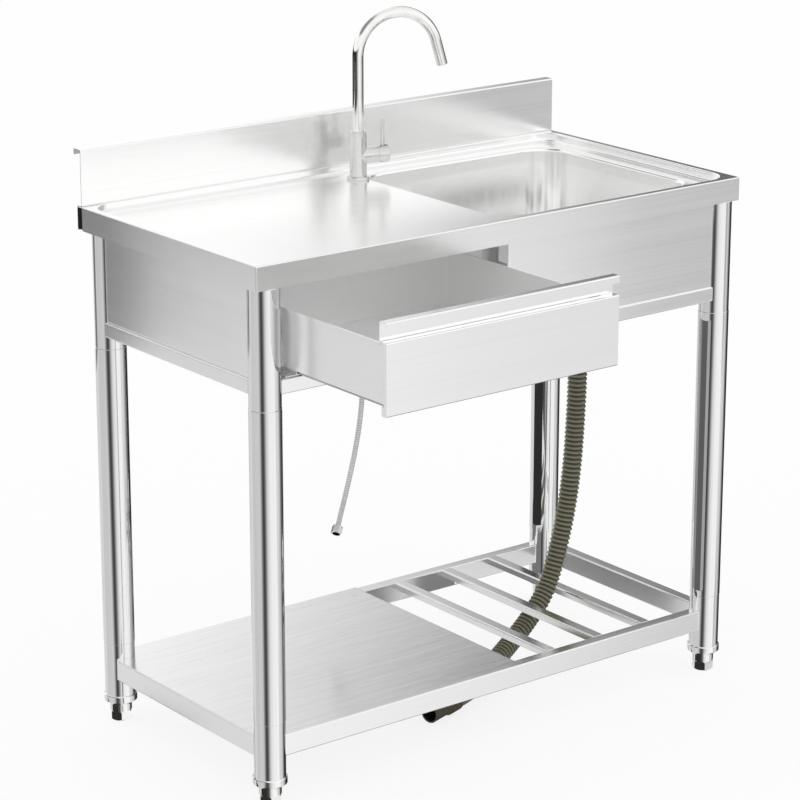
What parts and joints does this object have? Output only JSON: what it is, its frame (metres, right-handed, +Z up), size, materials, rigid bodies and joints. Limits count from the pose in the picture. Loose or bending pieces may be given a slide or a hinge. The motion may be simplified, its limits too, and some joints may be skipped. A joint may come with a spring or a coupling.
{
  "type": "freestanding outdoor sink",
  "caption": "Freestanding stainless outdoor sink with bowl, sloped drainboard, backsplash, pull-out drawer, half-slatted lower shelf, levelling feet and swivel gooseneck tap.",
  "frame": {"origin": "on the floor, below the middle of the sink's bounding box with the drawer pulled out as shown", "axes": "+X to the right as seen from the front, +Y from the drawer front towards the backsplash, +Z up"},
  "size_m": [1, 0.753, 1.1699],
  "materials": {
    "stainless": "fine brushed",
    "leg_steel": "polished",
    "tap_chrome": "polished",
    "black_plastic": "matt",
    "white_plastic": "satin",
    "hose_plastic": "satin",
    "braid": "woven",
    "rubber": "matt",
    "brass": "turned"
  },
  "bodies": {
    "cabinet": {"backsplash": "stainless", "drain_cuff": "hose_plastic", "drain_flange": "tap_chrome", "drain_gasket": "rubber", "drain_hose": "hose_plastic", "drain_hose_nut": "white_plastic", "drain_locknut": "white_plastic", "drain_tailpiece": "white_plastic", "drawer_runner_left": "stainless", "drawer_runner_right": "stainless", "foot_collars": "leg_steel", "leg_lower_sockets": "leg_steel", "leg_tube_fl": "leg_steel", "leg_tube_fr": "leg_steel", "leg_tube_rl": "leg_steel", "leg_tube_rr": "leg_steel", "leg_upper_sockets": "leg_steel", "panel_front": "stainless", "panel_left": "stainless", "panel_rear": "stainless", "panel_right": "stainless", "rail_front": "stainless", "rail_left": "stainless", "rail_rear": "stainless", "rail_right": "stainless", "rear_end_plugs": "black_plastic", "shelf_plate": "stainless", "shelf_rail_front": "stainless", "shelf_rail_left": "stainless", "shelf_rail_rear": "stainless", "shelf_rail_right": "stainless", "shelf_slat_1": "stainless", "shelf_slat_2": "stainless", "shelf_slat_3": "stainless", "sink_bowl": "stainless", "supply_ferrule": "tap_chrome", "supply_hose": "braid", "supply_nut": "tap_chrome", "tap_body": "tap_chrome", "tap_flange": "tap_chrome", "tap_nut": "brass", "tap_shank": "brass", "tap_washer": "rubber", "worktop": "stainless"},
    "drawer": {"drawer_front": "stainless", "drawer_box": "stainless", "drawer_studs": "stainless", "drawer_slider_left": "stainless", "drawer_slider_right": "stainless"},
    "spout": {"tap_spout": "tap_chrome", "tap_aerator": "white_plastic"},
    "cap": {"tap_cap": "tap_chrome"},
    "lever": {"tap_lever": "tap_chrome"},
    "basket": {"strainer_basket": "tap_chrome"},
    "foot_fl": {"foot_fl": "leg_steel"},
    "foot_fr": {"foot_fr": "leg_steel"},
    "foot_rl": {"foot_rl": "leg_steel"},
    "foot_rr": {"foot_rr": "leg_steel"}
  },
  "joints": [
    {"name": "drawer_slide", "type": "slide", "parent": "cabinet", "child": "drawer", "axis": [0, 1, 0], "range_m": [-0.06, 0.232]},
    {"name": "spout_turn", "type": "hinge", "parent": "cabinet", "child": "spout", "pos_m": [0.018, 0.2989, 0.95], "axis": [0, 0, 1], "continuous": true},
    {"name": "cap_turn", "type": "hinge", "parent": "cabinet", "child": "cap", "pos_m": [0.018, 0.2989, 0.91761], "axis": [0.9603, -0.279, 0], "range_deg": [-45, 45]},
    {"name": "lever_tilt", "type": "hinge", "parent": "cap", "child": "lever", "pos_m": [0.06025, 0.28662, 0.91761], "axis": [0.279, 0.9603, 0], "range_deg": [0, 15]},
    {"name": "basket_lift", "type": "slide", "parent": "cabinet", "child": "basket", "axis": [0, 0, 1], "range_m": [0, 0.06]},
    {"name": "foot_screw_fl", "type": "slide", "parent": "cabinet", "child": "foot_fl", "axis": [0, 0, -1], "range_m": [0, 0.02]},
    {"name": "foot_screw_fr", "type": "slide", "parent": "cabinet", "child": "foot_fr", "axis": [0, 0, -1], "range_m": [0, 0.02]},
    {"name": "foot_screw_rl", "type": "slide", "parent": "cabinet", "child": "foot_rl", "axis": [0, 0, -1], "range_m": [0, 0.02]},
    {"name": "foot_screw_rr", "type": "slide", "parent": "cabinet", "child": "foot_rr", "axis": [0, 0, -1], "range_m": [0, 0.02]}
  ]
}
